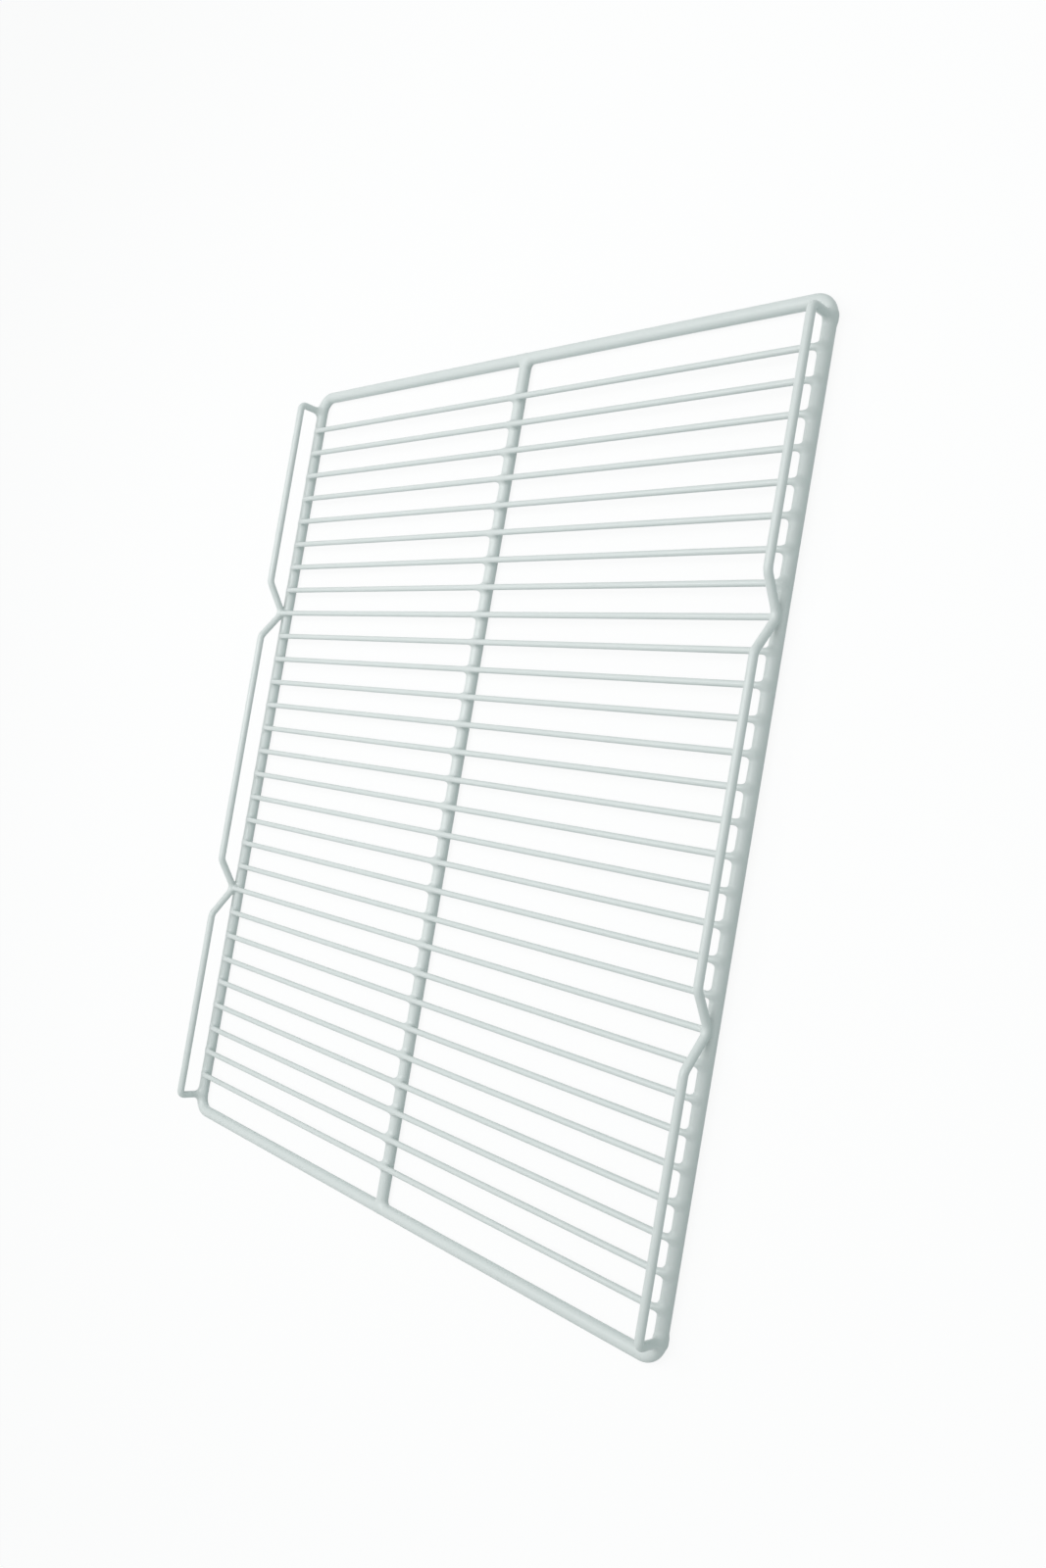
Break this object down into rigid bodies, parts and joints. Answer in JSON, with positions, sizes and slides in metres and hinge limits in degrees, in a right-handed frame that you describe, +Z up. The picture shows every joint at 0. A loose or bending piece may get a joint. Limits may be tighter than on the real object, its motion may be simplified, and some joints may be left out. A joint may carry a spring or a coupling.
{
  "type": "refrigerator wire shelf",
  "caption": "Rectangular coated wire shelf: round frame rod, centre rod, parallel cross wires and a raised, notched rail along each long side; slides on a cabinet's runners.",
  "frame": {"origin": "midway under the shelf, on the surface that the frame rod rests on", "axes": "+X across the shelf, +Y along its long sides, +Z up towards the side rails"},
  "size_m": [0.53, 0.65, 0.0296],
  "materials": {
    "coating": "glossy pale grey-white plastic coating on welded steel wire"
  },
  "bodies": {
    "root": {"perimeter_frame": "coating", "centre_rod": "coating", "left_side_rail": "coating", "right_side_rail": "coating", "cross_wire_01": "coating", "cross_wire_02": "coating", "cross_wire_03": "coating", "cross_wire_04": "coating", "cross_wire_05": "coating", "cross_wire_06": "coating", "cross_wire_07": "coating", "cross_wire_08": "coating", "cross_wire_09": "coating", "cross_wire_10": "coating", "cross_wire_11": "coating", "cross_wire_12": "coating", "cross_wire_13": "coating", "cross_wire_14": "coating", "cross_wire_15": "coating", "cross_wire_16": "coating", "cross_wire_17": "coating", "cross_wire_18": "coating", "cross_wire_19": "coating", "cross_wire_20": "coating", "cross_wire_21": "coating", "cross_wire_22": "coating", "cross_wire_23": "coating", "cross_wire_24": "coating", "cross_wire_25": "coating", "cross_wire_26": "coating", "cross_wire_27": "coating", "cross_wire_28": "coating", "cross_wire_29": "coating"}
  },
  "joints": []
}
